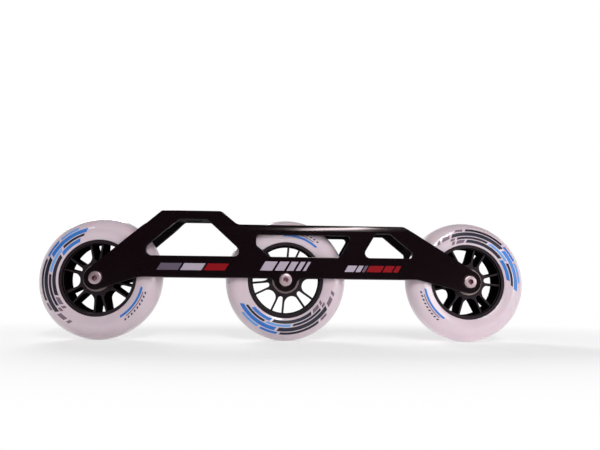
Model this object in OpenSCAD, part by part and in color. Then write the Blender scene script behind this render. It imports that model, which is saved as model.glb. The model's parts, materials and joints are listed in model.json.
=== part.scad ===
// Inline skate frame with three wheels. One milled channel carries each wheel on
// two ball bearings, a spacer and a single axle bolt. X points to the toe, Z is up,
// and the origin is on the ground under the middle axle. Millimetres.

/* [Wheels] */
// Diameter of each wheel over its tread
wheel_d = 100; // [92:1:108]
// Width of the tyre at its widest
tyre_w = 24; // [22:0.5:26]
// Diameter of the core where the tyre is cast on
core_d = 62; // [58:1:66]
// How far the rim of the core lies in from the side of the tyre
core_inset = 1; // [0.5:0.25:2]
// Thickness of the rim of the core
rim_t = 2.6; // [2:0.2:4]
// Wall of the hub around the bearings
hub_wall = 2.3; // [1.5:0.1:3]
// Distance from one axle to the next
axle_pitch = 152; // [146:1:160]

/* [Spokes] */
// Pairs of spokes in each core
spoke_pairs = 6; // [5:1:7]
// Angle between the two spokes of a pair
pair_angle = 20; // [16:1:24]
// Thickness of a spoke
spoke_t = 1.6; // [1.2:0.1:2.4]
// How far the spokes lie back from the end of the hub
spoke_hub_drop = 1.6; // [0.5:0.1:3]
// How far the spokes lie back from the edge of the rim
spoke_rim_drop = 2.6; // [1:0.1:4]
// Turn of the rear wheel as it stands
rear_turn = 36.4; // [0:0.2:60]
// Turn of the middle wheel as it stands
middle_turn = 15.4; // [0:0.2:60]
// Turn of the front wheel as it stands
front_turn = 4.4; // [0:0.2:60]

/* [Bearings] */
// Bore of each bearing
bearing_bore = 8; // [7:0.5:8.5]
// Outside diameter of each bearing
bearing_d = 22; // [21.5:0.5:24]
// Width of each bearing
bearing_w = 7; // [6.5:0.25:8]
// Diameter of the circle through the ball centres
ball_circle_d = 15; // [14.6:0.1:15.4]
// Balls in each bearing
ball_count = 7; // [6:1:8]
// Diameter of each ball
ball_d = 3.96; // [3.5:0.02:4.2]
// Gap between a ball and its raceways
ball_clear = 0.03; // [0.02:0.01:0.06]
// Length of the spacer between the two bearings
spacer_l = 10; // [9:0.5:12]

/* [Axle bolts] */
// Diameter of the bolt head
head_d = 10.2; // [9.5:0.1:11]
// Height of the bolt head
head_h = 2.2; // [1.6:0.1:3]
// Width of the hexagon socket across its flats
socket_w = 4; // [3:0.5:5]
// Depth of the hexagon socket
socket_depth = 4; // [2:0.5:6]
// Diameter of the threaded end
thread_d = 7; // [6:0.5:7]
// Radial gap of the shank in the frame and the bearings
axle_clear = 0.03; // [0.02:0.01:0.08]

/* [Frame channel] */
// Thickness of the side walls
wall_t = 2.5; // [2:0.25:4]
// Gap from the wheel or hub to each side wall
side_clear = 1; // [0.6:0.1:2]
// Diameter of the rounded ends around the axles
boss_d = 19; // [17:0.5:24]
// Height of the lower edge of the rail above the axles
rail_low = 1.2; // [0:0.2:3]
// Height of the rail between its lower edge and the windows
rail_h = 17.4; // [15:0.2:20]
// Length of the rear arm below the rail, from the axle
rear_arm_run = 33.6; // [28:0.2:40]
// Length of the front arm below the rail, from the axle
front_arm_run = 43.4; // [36:0.2:50]
// Height of the toe deck above the axles
deck_h = 45; // [43:0.5:48]
// Thickness of the toe deck
deck_t = 4.5; // [3.5:0.25:6]
// Height of the strip above the middle window
upper_rail_h = 8.5; // [7:0.25:10]
// Height of the heel platform above the toe deck
heel_step = 11; // [7:0.2:14]
// Thickness of the heel platform
heel_plate_t = 7.25; // [4:0.25:8]
// Height of the rounded shoulder below the toe deck
shoulder_h = 5; // [3:0.25:6]
// Radius of the rounded shoulder
shoulder_r = 9; // [8:0.5:14]
// Height of the shoulder that goes on beside the heel platform
shoulder_rise = 1; // [0.5:0.1:1.5]

/* [Boot mount] */
// Distance between the heel bolt and the toe bolt
mount_pitch = 165; // [160:1:168]
// Place of the heel bolt behind the middle axle
heel_back = 78; // [76:0.5:80]
// Length of the heel platform
heel_len = 48.5; // [42:0.5:50]
// Length of the slope from the heel platform down to the toe deck
heel_slope = 13.5; // [12:0.5:18]
// Deck in front of the toe bolt
toe_margin = 10.8; // [10:0.2:16]
// Width of the slots for the boot bolts
slot_w = 6.5; // [6:0.1:8.5]
// Length of the slots for the boot bolts
slot_l = 15; // [10:0.5:18]

/* [Windows] */
// Width of the rear arm at the heel platform
rear_arm_w = 14.5; // [10:0.5:16]
// Width of the heel post at the heel platform
heel_post_w = 11.5; // [8:0.5:13]
// Reach of the heel window from the rear axle
heel_window_rear = 30.5; // [28:0.5:38]
// Reach of the heel window from the middle axle
heel_window_front = 32; // [30:0.5:38]
// Reach of the middle window behind the middle axle
mid_window_rear = 24.6; // [20:0.2:26]
// Reach of the middle window in front of the middle axle
mid_window_front = 54.5; // [50:0.5:58]
// Slant of the front side of the middle window
mid_window_slant = 10.2; // [6:0.2:14]
// Length of the bevel at the rear of the middle window
mid_window_bevel = 11.6; // [8:0.2:13]
// Height of the bevel at the rear of the middle window
mid_window_bevel_h = 9.6; // [7:0.2:11]
// Length of the toe window along its top
toe_window_top = 11.9; // [7:0.1:13]
// Strip of the front arm between the toe window and the end of the deck
front_arm_w = 11.8; // [10:0.1:16]
// Height of the strip above the toe window
toe_strip_h = 6.4; // [5.5:0.1:9]
// Slant of the rear side of the toe window
toe_window_slant = 12; // [7:0.1:13]

/* [Hidden] */
$fn = 96;

// Heights above the ground and along the axles
axle_z = wheel_d / 2;
hub_w = 2 * bearing_w + spacer_l;
inner_w = max(tyre_w, hub_w) + 2 * side_clear;
frame_w = inner_w + 2 * wall_t;
bearing_mid = (spacer_l + bearing_w) / 2;
overcut = 1;

// Frame outline, as heights above the axles
boss_r = boss_d / 2;
rail_top = rail_low + rail_h;
heel_h = deck_h + heel_step;
deck_low = deck_h - deck_t;
heel_low = heel_h - heel_plate_t;
shoulder_low = deck_h - shoulder_h;
shoulder_top = deck_h + shoulder_rise;
heel_x = -heel_back;
toe_x = heel_x + mount_pitch;
heel_rear = heel_x - heel_len / 2;
heel_front = heel_x + heel_len / 2;
deck_rear = heel_front + heel_slope;
deck_front = toe_x + toe_margin;
heel_half_w = frame_w / 2 - shoulder_r + sqrt(pow(shoulder_r, 2) - pow(shoulder_top - shoulder_low, 2));
well_clear = 3.5;
well_half = sqrt(max(0, pow(wheel_d / 2, 2) - pow(deck_low, 2))) + well_clear;

// Corner radii of the outline and the windows
heel_rear_r = 3;
heel_front_r = 6;
deck_rear_r = 8;
deck_front_r = 5;
arm_root_r = 25;
boss_fillet_r = 5;
heel_window_r = [3, 3, 5, 4];
mid_window_r = [2.5, 2.5, 3, 4, 3];
toe_window_r = [2, 2, 4, 3];
well_r = 5;
arc_step = 9;

// Axle seats in the walls
seat_boss_step = 0.3;
head_seat_depth = 0.4;
head_seat_clear = 0.6;
head_chamfer = 0.6;
tip_chamfer = 0.6;

// Wheel core
core_r = core_d / 2;
core_w = tyre_w - 2 * core_inset;
hub_r = bearing_d / 2 + hub_wall;
hub_setback = 0.2;
hub_lip = 1.8;
rim_in_r = core_r - rim_t;
anchor_h = 3;
anchor_w = core_w / 2;
window_root = 0.6;
window_land = 0.5;
crown_r = tyre_w / 2;
crown_mid = wheel_d / 2 - crown_r;
crown_span = 95;

// Bearing
ball_circle_r = ball_circle_d / 2;
groove_r = ball_d / 2 + ball_clear;
land_h = 0.5;
inner_land_r = ball_circle_r - groove_r + land_h;
outer_land_r = ball_circle_r + groove_r - land_h;
shield_t = 0.3;
shield_recess = 0.2;
shield_gap = 0.35;
shield_seat = shield_t + shield_recess;
shield_step = 0.5;
shield_seat_r = outer_land_r + shield_step;
cage_t = 1.6;
cage_prong = 0.7;
cage_clear = 0.08;
cage_web = 0.55;
cage_back = ball_d / 2 + cage_clear + cage_web;
spacer_wall = 1.5;

WHEELS = ["rear", "middle", "front"];
TURNS = [rear_turn, middle_turn, front_turn];
SIDES = ["right", "left"];

function axle_x(i) = (i - 1) * axle_pitch;
function polar(r, a) = r * [cos(a), sin(a)];
function unit(v) = v / norm(v);
// Points of an arc, with one at its middle
function arc(c, r, a0, a1) =
    let (n = 2 * max(1, ceil(abs(a1 - a0) / arc_step / 2)))
    [for (k = [0 : n]) c + polar(r, a0 + (a1 - a0) * k / n)];

// Angle on a circle at which the tangent from p touches it, on the side s
function touch(p, c, r, s) =
    atan2(p[1] - c[1], p[0] - c[0]) + s * acos(r / norm(p - c));

// Points of the arc of radius r that rounds the corner b between a and c
function corner(a, b, c, r) =
    let (
        u = unit(a - b),
        v = unit(c - b),
        half = acos(u * v) / 2,
        run = r / tan(half),
        mid = b + unit(u + v) * r / sin(half),
        t0 = b + u * run - mid,
        t1 = b + v * run - mid,
        a0 = atan2(t0[1], t0[0]),
        sweep = (180 - 2 * half) * sign(cross(t0, t1))
    )
    arc(mid, r, a0, a0 + sweep);

// A closed polygon with each corner rounded to its own radius
function rounded(points, radii) =
    let (n = len(points))
    [for (i = [0 : n - 1])
        each corner(points[(i + n - 1) % n], points[i], points[(i + 1) % n], radii[i])];

// Lower edge around the middle axle: fillet, boss and fillet
function middle_boss() =
    let (
        drop = boss_fillet_r - rail_low,
        reach = boss_r + boss_fillet_r,
        run = sqrt(pow(reach, 2) - pow(drop, 2)),
        lean = atan2(drop, run)
    )
    concat(
        arc([-run, -drop], boss_fillet_r, 90, lean),
        arc([0, 0], boss_r, 180 + lean, 360 - lean),
        arc([run, -drop], boss_fillet_r, 180 - lean, 90)
    );

// Side outline of the channel, anticlockwise from the rear axle
function side_outline() =
    let (
        rear = [axle_x(0), 0],
        front = [axle_x(2), 0],
        rear_root = [axle_x(0) + rear_arm_run, rail_low],
        front_root = [axle_x(2) - front_arm_run, rail_low],
        heel_back_top = [heel_rear, heel_h],
        heel_front_top = [heel_front, heel_h],
        deck_start = [deck_rear, deck_h],
        deck_end = [deck_front, deck_h],
        rear_low_a = touch(rear_root, rear, boss_r, -1),
        rear_top_a = touch(heel_back_top, rear, boss_r, 1),
        front_low_a = touch(front_root, front, boss_r, 1),
        front_top_a = touch(deck_end, front, boss_r, -1),
        rear_low = rear + polar(boss_r, rear_low_a),
        rear_top = rear + polar(boss_r, rear_top_a),
        front_low = front + polar(boss_r, front_low_a),
        front_top = front + polar(boss_r, front_top_a)
    )
    concat(
        arc(rear, boss_r, rear_top_a, rear_low_a + 360),
        corner(rear_low, rear_root, front_root, arm_root_r),
        middle_boss(),
        corner(rear_root, front_root, front_low, arm_root_r),
        arc(front, boss_r, front_low_a - 360, front_top_a),
        corner(front_top, deck_end, deck_start, deck_front_r),
        corner(deck_end, deck_start, heel_front_top, deck_rear_r),
        corner(deck_start, heel_front_top, heel_back_top, heel_front_r),
        corner(heel_front_top, heel_back_top, rear_top, heel_rear_r)
    );

function heel_window() = [
    [heel_front - heel_post_w, heel_low],
    [heel_rear + rear_arm_w, heel_low],
    [axle_x(0) + heel_window_rear, rail_top],
    [axle_x(1) - heel_window_front, rail_top]
];

function middle_window() = [
    [mid_window_front, deck_h - upper_rail_h],
    [-mid_window_rear, deck_h - upper_rail_h],
    [-mid_window_rear, rail_top + mid_window_bevel_h],
    [-mid_window_rear + mid_window_bevel, rail_top],
    [mid_window_front - mid_window_slant, rail_top]
];

function toe_window() =
    let (
        top = deck_h - toe_strip_h,
        front = deck_front - front_arm_w,
        rear = front - toe_window_top,
        run = (top - rail_top) * (axle_x(2) - deck_front) / deck_h
    )
    [
        [front, top],
        [rear, top],
        [rear - toe_window_slant, rail_top],
        [front + run, rail_top]
    ];

// Children drawn in X and Z, extruded across the frame
module across(w) {
    translate([0, 0, axle_z])
        rotate([90, 0, 0])
            translate([0, 0, -w / 2])
                linear_extrude(w)
                    children();
}

// Children drawn in Y and Z, extruded along the frame from x0 to x1
module along(x0, x1) {
    translate([x0, 0, axle_z])
        rotate([90, 0, 90])
            linear_extrude(x1 - x0)
                children();
}

// Children drawn around Z, turned to lie around an axle with +Z to the right side
module on_axle(i) {
    translate([axle_x(i), 0, axle_z])
        rotate([90, 0, 0])
            children();
}

// Children drawn around the middle of one bearing
module on_bearing(i, side) {
    on_axle(i)
        translate([0, 0, side * bearing_mid])
            children();
}

// Outer profile of the channel: straight walls, rounded shoulders and heel box
module channel_profile() {
    side = concat(
        [[frame_w / 2, -boss_d], [frame_w / 2, shoulder_low]],
        arc([frame_w / 2 - shoulder_r, shoulder_low], shoulder_r, 0,
            asin((shoulder_top - shoulder_low) / shoulder_r)),
        [[heel_half_w, heel_h + overcut]]
    );
    polygon(concat(side, [for (k = [len(side) - 1 : -1 : 0]) [-side[k][0], side[k][1]]]));
}

module channel_blank() {
    intersection() {
        along(axle_x(0) - boss_d, axle_x(2) + boss_d) channel_profile();
        across(frame_w + 2 * overcut) polygon(side_outline());
    }
}

// Room for the wheels between the walls, and the hollow under the heel platform
module channel_hollow() {
    along(axle_x(0) - boss_d - overcut, axle_x(2) + boss_d + overcut)
        translate([-inner_w / 2, -2 * boss_d])
            square([inner_w, deck_low + 2 * boss_d]);
    heel_hollow_w = 2 * (heel_half_w - wall_t);
    along(axle_x(0) - boss_d - overcut, heel_front)
        translate([-heel_hollow_w / 2, 0])
            square([heel_hollow_w, heel_low]);
}

module windows() {
    across(frame_w + 2 * overcut) {
        polygon(rounded(heel_window(), heel_window_r));
        polygon(rounded(middle_window(), mid_window_r));
        polygon(rounded(toe_window(), toe_window_r));
    }
}

// Cut-out of the deck over the middle wheel
module wheel_well() {
    w = inner_w / 2;
    translate([0, 0, axle_z])
        linear_extrude(heel_h)
            polygon(rounded([[well_half, w], [-well_half, w], [-well_half, -w], [well_half, -w]],
                            [well_r, well_r, well_r, well_r]));
}

// Slot for a boot bolt, along the frame
module boot_slot(x) {
    half = (slot_l - slot_w) / 2;
    translate([x, 0, axle_z + rail_top]) {
        for (s = [-1, 1])
            translate([s * half, 0, 0])
                cylinder(d = slot_w, h = heel_h);
        translate([-half, -slot_w / 2, 0])
            cube([2 * half, slot_w, heel_h]);
    }
}

// Ring on the inside of each wall that presses on the inner race
module seat_boss(i) {
    for (s = [-1, 1])
        on_axle(i)
            translate([0, 0, s > 0 ? hub_w / 2 : -inner_w / 2 - overcut])
                cylinder(r = inner_land_r - seat_boss_step, h = (inner_w - hub_w) / 2 + overcut);
}

// Clear hole and head seat in the right wall, threaded hole in the left wall
module axle_holes(i) {
    on_axle(i) {
        cylinder(d = bearing_bore + 2 * axle_clear, h = frame_w);
        translate([0, 0, frame_w / 2 - head_seat_depth])
            cylinder(d = head_d + 2 * head_seat_clear, h = head_seat_depth + overcut);
        translate([0, 0, -frame_w])
            cylinder(d = thread_d, h = frame_w);
    }
}

module frame_channel() {
    color([0.09, 0.08, 0.09])
        difference() {
            union() {
                difference() {
                    channel_blank();
                    channel_hollow();
                    windows();
                    wheel_well();
                }
                for (i = [0 : 2]) seat_boss(i);
            }
            for (i = [0 : 2]) axle_holes(i);
            boot_slot(heel_x);
            boot_slot(toe_x);
        }
}

// Half section of the tyre: round crown, straight flanks and groove for the core
module tyre_section() {
    foot = [core_r, core_w / 2];
    difference() {
        polygon(concat(
            [[core_r, -core_w / 2]],
            arc([crown_mid, 0], crown_r, -crown_span, crown_span),
            [foot]
        ));
        translate([core_r - overcut, -anchor_w / 2])
            square([anchor_h + overcut, anchor_w]);
    }
}

module tyre(i) {
    color([0.9, 0.86, 0.86])
        on_axle(i)
            rotate_extrude()
                tyre_section();
}

// Half section of the core: hub with two bearing seats, spoke disc, rim and anchor
module core_section() {
    hub_end = hub_w / 2 - hub_setback;
    spoke_hub = hub_w / 2 - spoke_hub_drop;
    spoke_rim = core_w / 2 - spoke_rim_drop;
    side = [
        [bearing_d / 2 - hub_lip, 0],
        [bearing_d / 2 - hub_lip, spacer_l / 2],
        [bearing_d / 2, spacer_l / 2],
        [bearing_d / 2, hub_end],
        [hub_r, hub_end],
        [hub_r, spoke_hub],
        [rim_in_r, spoke_rim],
        [rim_in_r, core_w / 2],
        [core_r, core_w / 2],
        [core_r, anchor_w / 2],
        [core_r + anchor_h, anchor_w / 2]
    ];
    polygon(concat(side, [for (k = [len(side) - 1 : -1 : 1]) [side[k][0], -side[k][1]]]));
}

// Window between two spokes that stand at plus and minus the angle h
function spoke_window(h) =
    let (
        arch_mid = (hub_r + window_root - spoke_t / 2) / (1 - sin(h)),
        arch_r = arch_mid * sin(h) - spoke_t / 2,
        end_r = rim_in_r - window_land,
        end_a = h - asin(spoke_t / 2 / end_r)
    )
    concat(arc([arch_mid, 0], arch_r, 90 + h, 270 - h), arc([0, 0], end_r, -end_a, end_a));

module core(i) {
    color([0.07, 0.07, 0.08])
        on_axle(i)
            difference() {
                rotate_extrude() core_section();
                for (k = [0 : spoke_pairs - 1])
                    rotate([0, 0, TURNS[i] + k * 360 / spoke_pairs])
                        translate([0, 0, -hub_w])
                            linear_extrude(2 * hub_w) {
                                polygon(spoke_window(pair_angle / 2));
                                rotate(180 / spoke_pairs)
                                    polygon(spoke_window(180 / spoke_pairs - pair_angle / 2));
                            }
            }
}

module outer_race(i, side) {
    color([0.78, 0.79, 0.8])
        on_bearing(i, side)
            rotate_extrude()
                difference() {
                    translate([outer_land_r, -bearing_w / 2])
                        square([bearing_d / 2 - outer_land_r, bearing_w]);
                    translate([ball_circle_r, 0])
                        circle(r = groove_r);
                    for (s = [-1, 1])
                        translate([outer_land_r - overcut, s > 0 ? bearing_w / 2 - shield_seat
                                                                 : -bearing_w / 2 - overcut])
                            square([shield_seat_r - outer_land_r + overcut, shield_seat + overcut]);
                }
}

module inner_race(i, side) {
    color([0.78, 0.79, 0.8])
        on_bearing(i, side)
            rotate_extrude()
                difference() {
                    translate([bearing_bore / 2, -bearing_w / 2])
                        square([inner_land_r - bearing_bore / 2, bearing_w]);
                    translate([ball_circle_r, 0])
                        circle(r = groove_r);
                }
}

module balls(i, side) {
    color([0.85, 0.86, 0.88])
        on_bearing(i, side)
            for (k = [0 : ball_count - 1])
                rotate([0, 0, k * 360 / ball_count])
                    translate([ball_circle_r, 0, 0])
                        sphere(d = ball_d);
}

// Crown cage: a ring behind the balls with prongs that reach between them
module cage(i, side) {
    color([0.75, 0.6, 0.35])
        on_bearing(i, side)
            difference() {
                rotate_extrude()
                    translate([ball_circle_r - cage_t / 2, -cage_prong])
                        square([cage_t, cage_prong + cage_back]);
                for (k = [0 : ball_count - 1])
                    rotate([0, 0, k * 360 / ball_count])
                        translate([ball_circle_r, 0, 0])
                            sphere(r = ball_d / 2 + cage_clear);
            }
}

// Two thin rings that close the bearing, seated in the outer race
module shields(i, side) {
    in_r = inner_land_r + shield_gap;
    color([0.6, 0.61, 0.63])
        on_bearing(i, side)
            for (s = [-1, 1])
                rotate_extrude()
                    translate([in_r, s * (bearing_w / 2 - shield_recess - shield_t / 2) - shield_t / 2])
                        square([shield_seat_r - in_r, shield_t]);
}

module spacer(i) {
    color([0.7, 0.71, 0.73])
        on_axle(i)
            rotate_extrude()
                translate([bearing_bore / 2, -spacer_l / 2])
                    square([spacer_wall, spacer_l]);
}

// Half section of the bolt from the threaded tip on the left to the head on the right
module axle_section() {
    head_seat = frame_w / 2 - head_seat_depth;
    head_top = head_seat + head_h;
    shank_r = bearing_bore / 2 - axle_clear;
    polygon([
        [0, -frame_w / 2],
        [thread_d / 2 - tip_chamfer, -frame_w / 2],
        [thread_d / 2, -frame_w / 2 + tip_chamfer],
        [thread_d / 2, -hub_w / 2],
        [shank_r, -hub_w / 2],
        [shank_r, head_seat],
        [head_d / 2, head_seat],
        [head_d / 2, head_top - head_chamfer],
        [head_d / 2 - head_chamfer, head_top],
        [0, head_top]
    ]);
}

module axle_bolt(i) {
    head_top = frame_w / 2 - head_seat_depth + head_h;
    color([0.8, 0.81, 0.83])
        on_axle(i)
            difference() {
                rotate_extrude() axle_section();
                translate([0, 0, head_top - socket_depth])
                    cylinder(d = socket_w / cos(30), h = socket_depth + overcut, $fn = 6);
            }
}

frame_channel();
for (i = [0 : 2]) {
    w = WHEELS[i];
    tyre(i);
    core(i);
    axle_bolt(i);
    spacer(i);
    for (k = [0 : 1]) {
        b = str(w, "_", SIDES[k]);
        side = 1 - 2 * k;
        outer_race(i, side);
        inner_race(i, side);
        balls(i, side);
        cage(i, side);
        shields(i, side);
    }
}
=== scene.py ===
"""Looks of a three-wheel inline skate frame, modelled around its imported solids.

The channel, the wheel cores and the bearing rings are refined copies of their solids. The tyres,
the axle bolts and the printed marks are modelled here. Metres, with X to the toe and Z up.
"""

import json
import logging
import math
from collections.abc import Callable
from dataclasses import dataclass, field
from enum import Enum

import bmesh
import bpy
from mathutils import Matrix, Vector

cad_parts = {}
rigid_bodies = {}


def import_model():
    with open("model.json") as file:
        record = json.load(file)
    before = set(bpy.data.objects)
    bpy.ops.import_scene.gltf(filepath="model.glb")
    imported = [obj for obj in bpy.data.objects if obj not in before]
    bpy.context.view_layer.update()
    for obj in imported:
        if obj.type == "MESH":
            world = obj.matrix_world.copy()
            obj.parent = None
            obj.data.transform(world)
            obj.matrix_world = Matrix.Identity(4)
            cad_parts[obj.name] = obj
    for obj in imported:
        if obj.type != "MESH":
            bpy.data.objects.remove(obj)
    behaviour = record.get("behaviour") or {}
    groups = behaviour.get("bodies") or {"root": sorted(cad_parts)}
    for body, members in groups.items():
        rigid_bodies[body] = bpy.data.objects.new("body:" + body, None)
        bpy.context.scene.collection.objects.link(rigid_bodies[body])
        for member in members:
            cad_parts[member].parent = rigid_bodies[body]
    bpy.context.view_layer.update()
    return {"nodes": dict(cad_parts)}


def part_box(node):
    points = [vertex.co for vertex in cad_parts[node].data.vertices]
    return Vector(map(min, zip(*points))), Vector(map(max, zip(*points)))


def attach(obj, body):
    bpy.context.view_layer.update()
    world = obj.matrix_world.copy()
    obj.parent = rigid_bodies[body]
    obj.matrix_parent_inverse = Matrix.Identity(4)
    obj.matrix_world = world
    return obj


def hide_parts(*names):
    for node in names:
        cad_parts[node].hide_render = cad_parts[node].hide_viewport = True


LOG = logging.getLogger("skate_frame")
MM = 0.001
TINY = 0.01 * MM
WELD = 0.001 * MM
QUARTER_TURN = math.pi / 2
Colour = tuple[float, float, float, float]
Piece = bpy.types.Object
Tree = bpy.types.NodeTree
Node = bpy.types.Node
Socket = bpy.types.NodeSocket
Amount = float | bpy.types.NodeSocket
WHITE: Colour = (1.0, 1.0, 1.0, 1.0)


class Station(Enum):
    """Where a wheel stands in the frame."""

    REAR = "rear"
    MIDDLE = "middle"
    FRONT = "front"


class Side(Enum):
    """Side of the frame, with the sign of its Y."""

    RIGHT = -1
    LEFT = 1


class Effect(Enum):
    """Small-scale effect that a finish carries over its surface."""

    GRAIN = "fine_grain"
    DRAWN = "drawn_lines"
    TURNED = "turned_rings"
    INK = "printed_ink"


def paint(red: int, green: int, blue: int) -> Colour:
    """Linear colour of a paint, given as it looks on a screen.

    Args:
        red: Red from 0 to 255.
        green: Green from 0 to 255.
        blue: Blue from 0 to 255.

    Returns:
        The linear colour with full alpha.
    """
    shares = [value / 255 for value in (red, green, blue)]
    linear = [s / 12.92 if s <= 0.04045 else ((s + 0.055) / 1.055) ** 2.4 for s in shares]
    return (*linear, 1.0)


# Shader effects that several finishes share


def put(tree: Tree, kind: str, inputs: dict[str | int, object] | None = None, **settings: object) -> Node:
    """Add a node, set its options and fill or link its inputs.

    Args:
        tree: Node tree that takes the node.
        kind: Blender's name of the node type.
        inputs: Value or source socket of each input, by the input's name or number.
        **settings: Options of the node itself.

    Returns:
        The new node.
    """
    node = tree.nodes.new(kind)
    for option, value in settings.items():
        setattr(node, option, value)
    for key, value in (inputs or {}).items():
        if isinstance(value, Socket):
            tree.links.new(value, node.inputs[key])
        else:
            node.inputs[key].default_value = value
    return node


def calculate(tree: Tree, operation: str, *values: Amount) -> Socket:
    """Add a Math node.

    Args:
        tree: Node tree that takes the node.
        operation: Blender's name of the operation.
        *values: Numbers or sockets for its inputs, in order.

    Returns:
        The socket with the result.
    """
    node = put(tree, "ShaderNodeMath", dict(enumerate(values)), operation=operation)
    return node.outputs["Value"]


@dataclass(frozen=True)
class EffectGroups:
    """Builds each shared shader group once.

    Every group takes Colour, Roughness, Spread and Size, and puts out a Colour, a Roughness and a
    Height that change over the surface.
    """

    axle_pitch: float = 152 * MM
    axle_height: float = 50 * MM
    mean: float = 0.5
    octaves: float = 2.0
    fine_octaves: float = 3.0
    cloud_cells: float = 30.0
    line_stretch: tuple[float, float, float] = (0.02, 1.0, 1.0)
    line_cells: float = 2.0
    line_relief: float = 0.4
    blotch_cells: float = 90.0
    wander_cells: float = 9.0
    wander_turn: float = 3.0
    ring_gloss: float = 0.4
    cover_cells: float = 14.0
    cover_shade: float = 0.7

    def get(self, effect: Effect) -> Tree:
        """The group of an effect, built at its first use.

        Args:
            effect: The effect that is wanted.

        Returns:
            Its node group.
        """
        known = bpy.data.node_groups.get(effect.value)
        if known:
            return known
        tree = bpy.data.node_groups.new(effect.value, "ShaderNodeTree")
        values = {"INPUT": ("Roughness", "Spread", "Size"), "OUTPUT": ("Roughness", "Height")}
        for way, names in values.items():
            tree.interface.new_socket("Colour", in_out=way, socket_type="NodeSocketColor")
            for name in names:
                tree.interface.new_socket(name, in_out=way, socket_type="NodeSocketFloat")
        builders = {
            Effect.GRAIN: self._grain,
            Effect.DRAWN: self._drawn,
            Effect.TURNED: self._turned,
            Effect.INK: self._ink,
        }
        builders[effect](tree)
        return tree

    def _noise(self, tree: Tree, place: Socket, size: Amount, detail: float) -> Socket:
        """Noise with cells of a given size.

        Args:
            tree: Node tree that takes the nodes.
            place: Coordinates to read.
            size: Cell size in metres, a number or a socket.
            detail: Octaves of finer noise.

        Returns:
            The noise value, about 0.5 on average.
        """
        scale = calculate(tree, "DIVIDE", 1.0, size)
        noise = put(tree, "ShaderNodeTexNoise", {"Vector": place, "Scale": scale, "Detail": detail})
        return noise.outputs["Fac"]

    def _cells(self, tree: Tree, place: Socket, source: Node, count: float) -> Socket:
        """Noise with cells that are some grains wide.

        Args:
            tree: Node tree that takes the nodes.
            place: Coordinates to read.
            source: Input node of the group, which gives the size of a grain.
            count: Width of a cell in grains.

        Returns:
            The noise value.
        """
        size = calculate(tree, "MULTIPLY", source.outputs["Size"], count)
        return self._noise(tree, place, size, self.octaves)

    def _blend(self, tree: Tree, first: Socket, second: Socket, share: float) -> Socket:
        """Weighted mean of two masks.

        Args:
            tree: Node tree that takes the nodes.
            first: The first mask.
            second: The second mask.
            share: Weight of the first.

        Returns:
            The mean.
        """
        rest = calculate(tree, "MULTIPLY", second, 1 - share)
        return calculate(tree, "MULTIPLY_ADD", first, share, rest)

    def _around_one(self, tree: Tree, source: Node, mask: Socket) -> Socket:
        """Factor that swings around 1 with a mask, as far as the group's Spread says.

        Args:
            tree: Node tree that takes the nodes.
            source: Input node of the group.
            mask: The mask.

        Returns:
            The factor.
        """
        offset = calculate(tree, "SUBTRACT", mask, self.mean)
        return calculate(tree, "MULTIPLY_ADD", offset, source.outputs["Spread"], 1.0)

    def _close(self, tree: Tree, source: Node, shade: Socket, gloss: Socket, height: Socket) -> None:
        """Spread the colour and the roughness by two masks and fill the group's outputs.

        Args:
            tree: The group.
            source: Its input node.
            shade: Mask around 0.5 that lightens and darkens the colour.
            gloss: Mask around 0.5 that raises and lowers the roughness.
            height: Relief that goes to a bump.
        """
        lift = self._around_one(tree, source, shade)
        tint = put(tree, "ShaderNodeVectorMath", {0: source.outputs["Colour"], "Scale": lift},
                   operation="SCALE")
        swing = self._around_one(tree, source, gloss)
        rough = calculate(tree, "MULTIPLY", source.outputs["Roughness"], swing)
        put(tree, "NodeGroupOutput", {"Colour": tint.outputs[0], "Roughness": rough, "Height": height})

    def _grain(self, tree: Tree) -> None:
        """Even grain of a casting or a moulding, with slow clouds of colour.

        Args:
            tree: The group.
        """
        source = put(tree, "NodeGroupInput")
        place = put(tree, "ShaderNodeTexCoord").outputs["Object"]
        fine = self._noise(tree, place, source.outputs["Size"], self.fine_octaves)
        clouds = self._cells(tree, place, source, self.cloud_cells)
        self._close(tree, source, clouds, self._blend(tree, fine, clouds, self.mean), fine)

    def _drawn(self, tree: Tree) -> None:
        """Faint lines along the extrusion, under an even bead-blasted grain.

        Args:
            tree: The group.
        """
        source = put(tree, "NodeGroupInput")
        place = put(tree, "ShaderNodeTexCoord").outputs["Object"]
        stretched = put(tree, "ShaderNodeMapping", {"Vector": place, "Scale": self.line_stretch})
        lines = self._cells(tree, stretched.outputs["Vector"], source, self.line_cells)
        fine = self._noise(tree, place, source.outputs["Size"], self.octaves)
        blotches = self._cells(tree, place, source, self.blotch_cells)
        gloss = self._blend(tree, lines, blotches, self.mean)
        height = self._blend(tree, lines, fine, self.line_relief)
        self._close(tree, source, blotches, gloss, height)

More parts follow.
